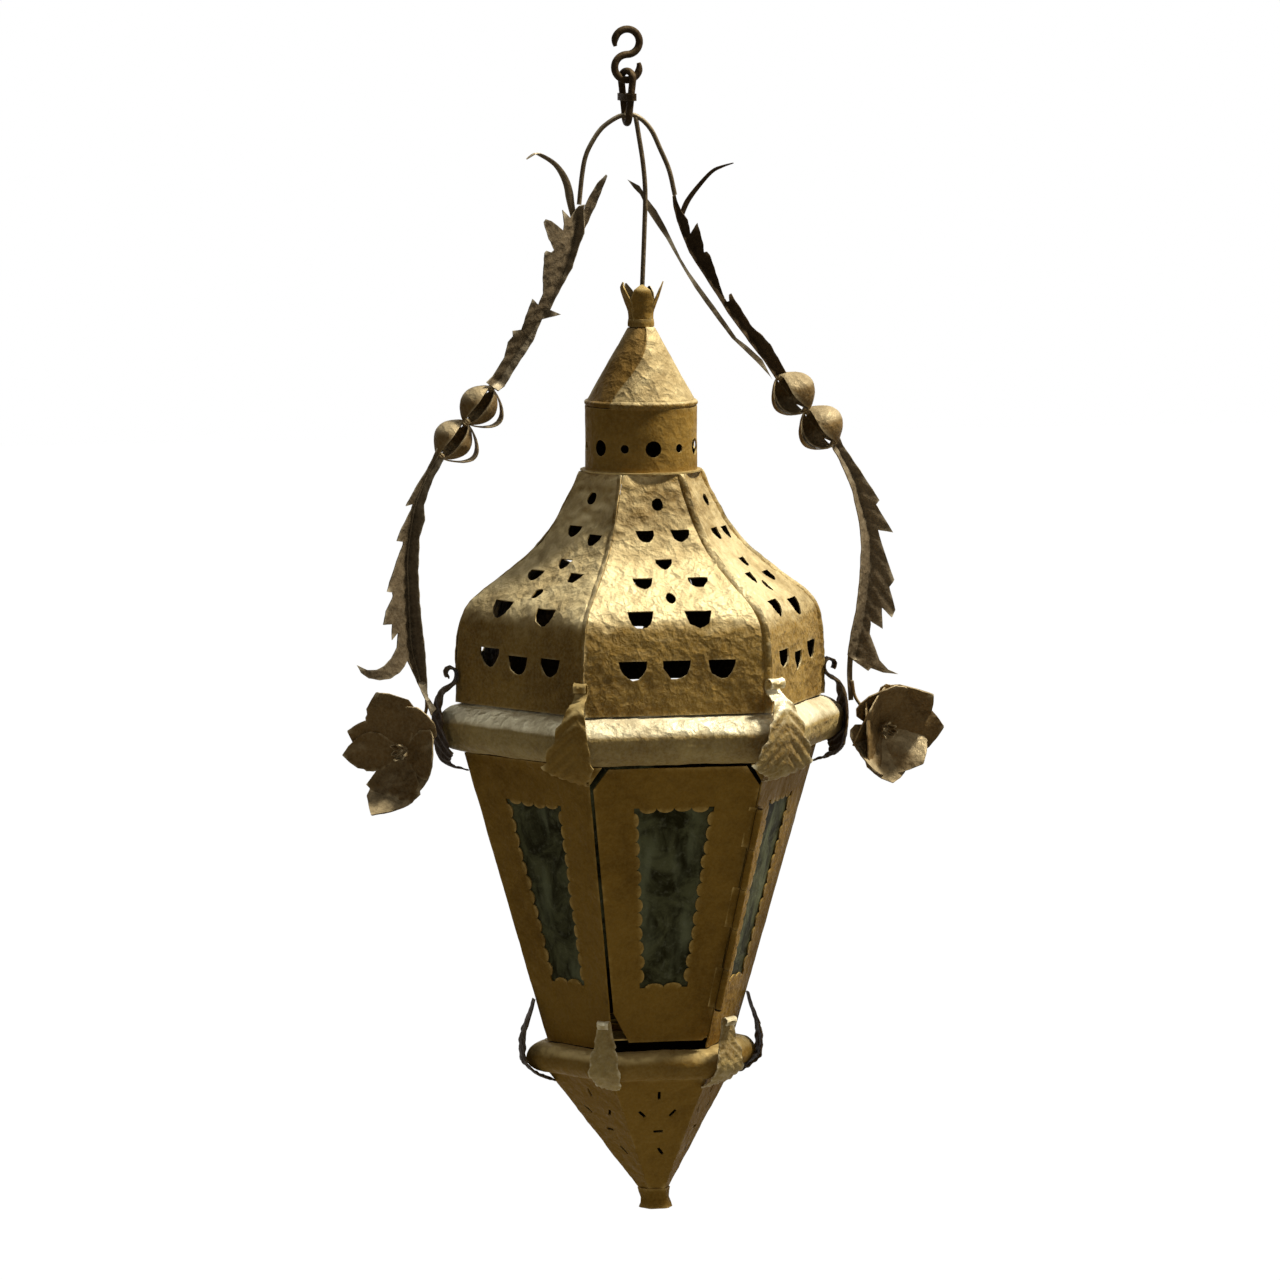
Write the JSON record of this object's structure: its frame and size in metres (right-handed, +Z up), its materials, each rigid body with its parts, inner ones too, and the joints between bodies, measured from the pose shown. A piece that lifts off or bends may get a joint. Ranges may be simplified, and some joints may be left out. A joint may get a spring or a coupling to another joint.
{
  "type": "hanging candle lantern",
  "caption": "Hexagonal sheet-brass candle lantern with a hinged glazed door, vented roof and two arms of leaves and roses, hung on a link and hook.",
  "frame": {"origin": "the point inside the upper bend of the top hook that the lantern hangs on", "axes": "+Z up, the door faces -Y, +X towards the lantern's right arm as seen from the door"},
  "size_m": [0.4201, 0.2829, 0.8302],
  "materials": {
    "body_brass": "aged, crinkled",
    "pale_brass": "worn bright",
    "leaf_brass": "dull, hammered",
    "dark_leaf": "dark patina",
    "rose_brass": "patinated",
    "dark_wire": "dull",
    "window_glass": "aged"
  },
  "bodies": {
    "hook": {"top_hook": "dark_wire"},
    "link": {"hanging_link": "dark_wire"},
    "lantern": {"body_panel_1": "body_brass", "body_panel_2": "body_brass", "body_panel_3": "body_brass", "body_panel_4": "body_brass", "body_panel_5": "body_brass", "bottom_pyramid": "body_brass", "candle_socket": "body_brass", "cap_cone": "pale_brass", "centre_strap": "body_brass", "dome_panel_1": "body_brass", "dome_panel_2": "body_brass", "dome_panel_3": "body_brass", "dome_panel_4": "body_brass", "dome_panel_5": "body_brass", "dome_panel_6": "body_brass", "door_hinge_pin": "dark_wire", "drip_pan": "body_brass", "finial_crown": "body_brass", "floor_plate": "body_brass", "glass_pane_2": "window_glass", "glass_pane_3": "window_glass", "glass_pane_4": "window_glass", "glass_pane_5": "window_glass", "glass_pane_6": "window_glass", "left_lower_leaf": "dark_leaf", "left_lower_pod": "dark_leaf", "left_rose": "rose_brass", "left_upper_leaf": "dark_leaf", "left_upper_pod": "dark_leaf", "lower_roll": "pale_brass", "neck_drum": "body_brass", "right_blade": "leaf_brass", "right_lower_leaf": "dark_leaf", "right_lower_pod": "dark_leaf", "right_rose": "rose_brass", "right_upper_leaf": "dark_leaf", "right_upper_pod": "dark_leaf", "ring_leaf_1": "pale_brass", "ring_leaf_2": "pale_brass", "ring_leaf_3": "pale_brass", "ring_leaf_4": "pale_brass", "ring_leaf_5": "pale_brass", "ring_leaf_6": "pale_brass", "strap_arch": "dark_leaf", "waist_leaf_1": "pale_brass", "waist_leaf_2": "pale_brass", "waist_leaf_3": "pale_brass", "waist_leaf_4": "pale_brass", "waist_leaf_5": "pale_brass", "waist_leaf_6": "pale_brass", "waist_roll": "pale_brass"},
    "door": {"door_panel": "body_brass", "glass_pane_1": "window_glass"}
  },
  "joints": [
    {"name": "hook_swing", "type": "hinge", "parent": "hook", "child": "link", "pos_m": [0, 0, -0.0326], "axis": [1, 0, 0], "range_deg": [-15, 15]},
    {"name": "lantern_swing", "type": "hinge", "parent": "link", "child": "lantern", "pos_m": [0, 0, -0.0624], "axis": [0, 1, 0], "range_deg": [-18, 18]},
    {"name": "door_hinge", "type": "hinge", "parent": "lantern", "child": "door", "pos_m": [0.07493, -0.11246, -0.4997], "axis": [0.1395, -0.2417, 0.9603], "range_deg": [0, 90]}
  ]
}
